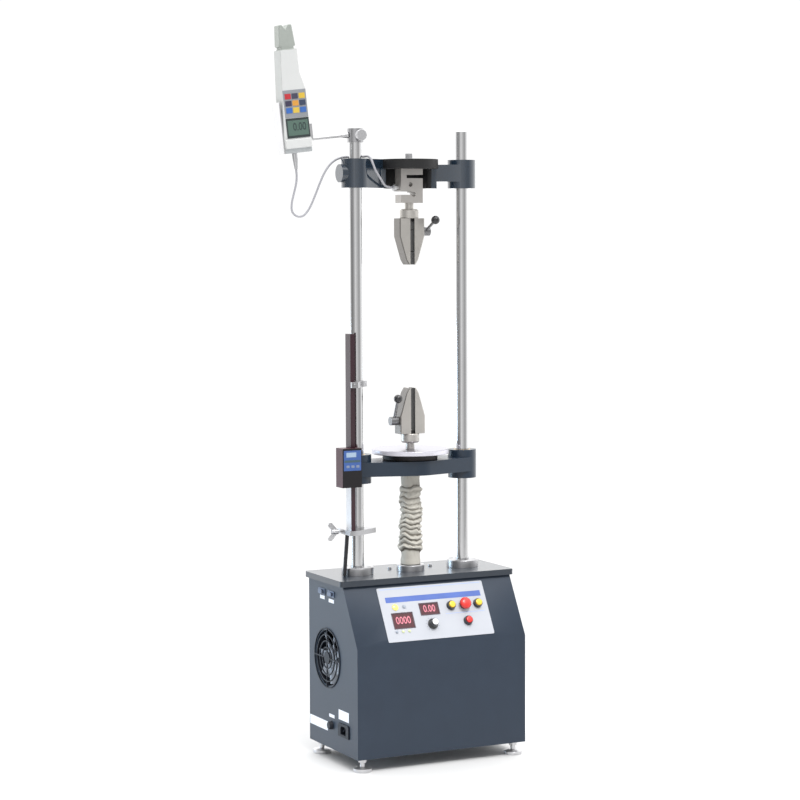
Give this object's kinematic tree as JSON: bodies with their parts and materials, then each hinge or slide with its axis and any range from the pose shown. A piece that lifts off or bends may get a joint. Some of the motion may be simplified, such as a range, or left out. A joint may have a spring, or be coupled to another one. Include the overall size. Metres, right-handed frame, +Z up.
{
  "type": "motorised force test stand",
  "caption": "Two-column motorised stand: a screw-driven crosshead with a round table and grip pulls a specimen against a load cell read by a display gauge.",
  "frame": {"origin": "middle of the object's overall width and depth, on the floor under the four feet", "axes": "+Z up; +X to the right seen from the control panel; +Y to the back, so the panel faces -Y"},
  "size_m": [0.4968, 0.24, 1.495],
  "materials": {
    "cabinet_paint": "semi-gloss blue-grey powder coat",
    "casting_paint": "glossy dark blue-grey paint on a casting",
    "chrome_plate": "polished hard chrome",
    "machined_steel": "fine turned steel",
    "zinc_steel": "zinc plated",
    "satin_grip": "satin ground nickel",
    "cell_aluminium": "satin anodised",
    "bronze": "plain bronze",
    "black_steel": "black oxide",
    "black_plastic": "fine moulded grain",
    "knob_black": "polished",
    "panel_film": "printed film, satin",
    "display_red": "tinted window",
    "lamp_lens": "clear tinted lens",
    "bezel_metal": "bright ring",
    "button_yellow": "smooth",
    "button_red": "smooth",
    "bellows_cloth": "coated cloth folds",
    "belt_rubber": "matt",
    "gauge_white": "moulded, satin",
    "gauge_face": "printed film",
    "reader_black": "moulded",
    "bar_dark": "dark maroon coating",
    "cable_grey": "soft sheath",
    "board_green": "lacquered"
  },
  "bodies": {
    "frame": {"housing": "cabinet_paint", "bottom_plate": "cabinet_paint", "top_plate": "cabinet_paint", "levelling_feet": "zinc_steel", "columns": "chrome_plate", "base_collars": "machined_steel", "frame_fasteners": "zinc_steel", "upper_crosshead": "casting_paint", "load_cell": "cell_aluminium", "upper_grip_stem": "satin_grip", "upper_grip_body": "satin_grip", "nut_housing": "machined_steel", "nut_bearings": "zinc_steel", "drive_belt": "belt_rubber", "motor": "black_steel", "power_supply": "cell_aluminium", "control_board": "board_green", "bellows": "bellows_cloth", "control_panel": "panel_film", "display_windows": "display_red", "indicator_lamps": "lamp_lens", "button_bezels": "bezel_metal", "fan_frame": "black_plastic", "fan_guard": "black_steel", "mains_inlet": "black_plastic", "fuse_holder": "black_plastic", "signal_sockets": "zinc_steel", "scale_bar": "bar_dark", "scale_brackets": "machined_steel", "scale_clamp": "machined_steel", "support_rod": "black_steel", "gauge_clamp": "machined_steel", "gauge_arm": "zinc_steel", "gauge_body": "gauge_white", "gauge_panel": "gauge_face", "cable_fittings": "zinc_steel", "signal_cable": "cable_grey"},
    "beam": {"lower_crosshead": "casting_paint", "guide_bushes": "bronze", "table": "machined_steel", "lift_screw": "machined_steel", "scale_reader": "reader_black", "lower_grip_stem": "satin_grip", "lower_grip_body": "satin_grip"},
    "upper_jaw": {"upper_grip_jaw": "machined_steel"},
    "upper_lever": {"upper_grip_lever": "zinc_steel", "upper_lever_knob": "knob_black"},
    "lower_jaw": {"lower_grip_jaw": "machined_steel"},
    "lower_lever": {"lower_grip_lever": "zinc_steel", "lower_lever_knob": "knob_black"},
    "nut": {"screw_nut": "bronze"},
    "drive_pulley": {"motor_pulley": "machined_steel"},
    "speed_control": {"speed_knob": "knob_black"},
    "up_key": {"up_button": "button_yellow"},
    "down_key": {"down_button": "button_yellow"},
    "stop_key": {"stop_button": "button_red"},
    "emergency_stop": {"emergency_button": "button_red"},
    "fan": {"fan_rotor": "black_plastic"},
    "wing": {"wing_screw": "zinc_steel"},
    "gauge_knob": {"clamp_knob": "machined_steel"}
  },
  "joints": [
    {"name": "beam_lift", "type": "slide", "parent": "frame", "child": "beam", "axis": [0, 0, 1], "range_m": [-0.085, 0.12], "deforming": ["bellows"]},
    {"name": "nut_spin", "type": "hinge", "parent": "frame", "child": "nut", "pos_m": [0.04943, 0.0245, 0.33], "axis": [0, 0, 1], "range_deg": [-3065, 4325]},
    {"name": "motor_spin", "type": "hinge", "parent": "frame", "child": "drive_pulley", "pos_m": [0.16143, 0.0245, 0.297], "axis": [0, 0, 1], "range_deg": [-6295, 8885]},
    {"name": "fan_spin", "type": "hinge", "parent": "frame", "child": "fan", "pos_m": [-0.13057, 0.0225, 0.212], "axis": [1, 0, 0], "continuous": true},
    {"name": "speed_turn", "type": "hinge", "parent": "frame", "child": "speed_control", "pos_m": [0.03643, -0.09976, 0.28565], "axis": [0, -0.8696, 0.4938], "range_deg": [-150, 150]},
    {"name": "up_press", "type": "slide", "parent": "frame", "child": "up_key", "axis": [0, 0.8696, -0.4938], "range_m": [0, 0.003], "stiffness_N_per_m": 500, "springref_m": -0.001},
    {"name": "down_press", "type": "slide", "parent": "frame", "child": "down_key", "axis": [0, 0.8696, -0.4938], "range_m": [0, 0.003], "stiffness_N_per_m": 500, "springref_m": -0.001},
    {"name": "stop_press", "type": "slide", "parent": "frame", "child": "stop_key", "axis": [0, 0.8696, -0.4938], "range_m": [0, 0.003], "stiffness_N_per_m": 500, "springref_m": -0.001},
    {"name": "emergency_press", "type": "slide", "parent": "frame", "child": "emergency_stop", "axis": [0, 0.8696, -0.4938], "range_m": [0, 0.004], "stiffness_N_per_m": 500, "springref_m": -0.001},
    {"name": "upper_lever_turn", "type": "hinge", "parent": "frame", "child": "upper_lever", "pos_m": [0.08643, 0.0245, 1.0825], "axis": [1, 0, 0], "range_deg": [-20, 110]},
    {"name": "upper_jaw_slide", "type": "slide", "parent": "frame", "child": "upper_jaw", "axis": [-1, 0, 0], "range_m": [-0.0011, 0.0056]},
    {"name": "lower_lever_turn", "type": "hinge", "parent": "beam", "child": "lower_lever", "pos_m": [0.01243, 0.0245, 0.6925], "axis": [1, 0, 0], "range_deg": [-20, 110]},
    {"name": "lower_jaw_slide", "type": "slide", "parent": "beam", "child": "lower_jaw", "axis": [1, 0, 0], "range_m": [-0.0011, 0.0056]},
    {"name": "wing_turn", "type": "hinge", "parent": "frame", "child": "wing", "pos_m": [-0.11057, 0.0245, 0.471], "axis": [1, 0, 0], "range_deg": [-180, 180]},
    {"name": "clamp_knob_turn", "type": "hinge", "parent": "frame", "child": "gauge_knob", "pos_m": [-0.07257, 0.0005, 1.277], "axis": [0, -1, 0], "range_deg": [-180, 180]}
  ],
  "couplings": [
    {"joint": "nut_spin", "follows": "beam_lift", "rad_per_m": 628.32},
    {"joint": "motor_spin", "follows": "beam_lift", "rad_per_m": 1291.5},
    {"joint": "upper_jaw_slide", "follows": "upper_lever_turn", "m_per_rad": 0.0028648},
    {"joint": "lower_jaw_slide", "follows": "lower_lever_turn", "m_per_rad": 0.0028648}
  ]
}
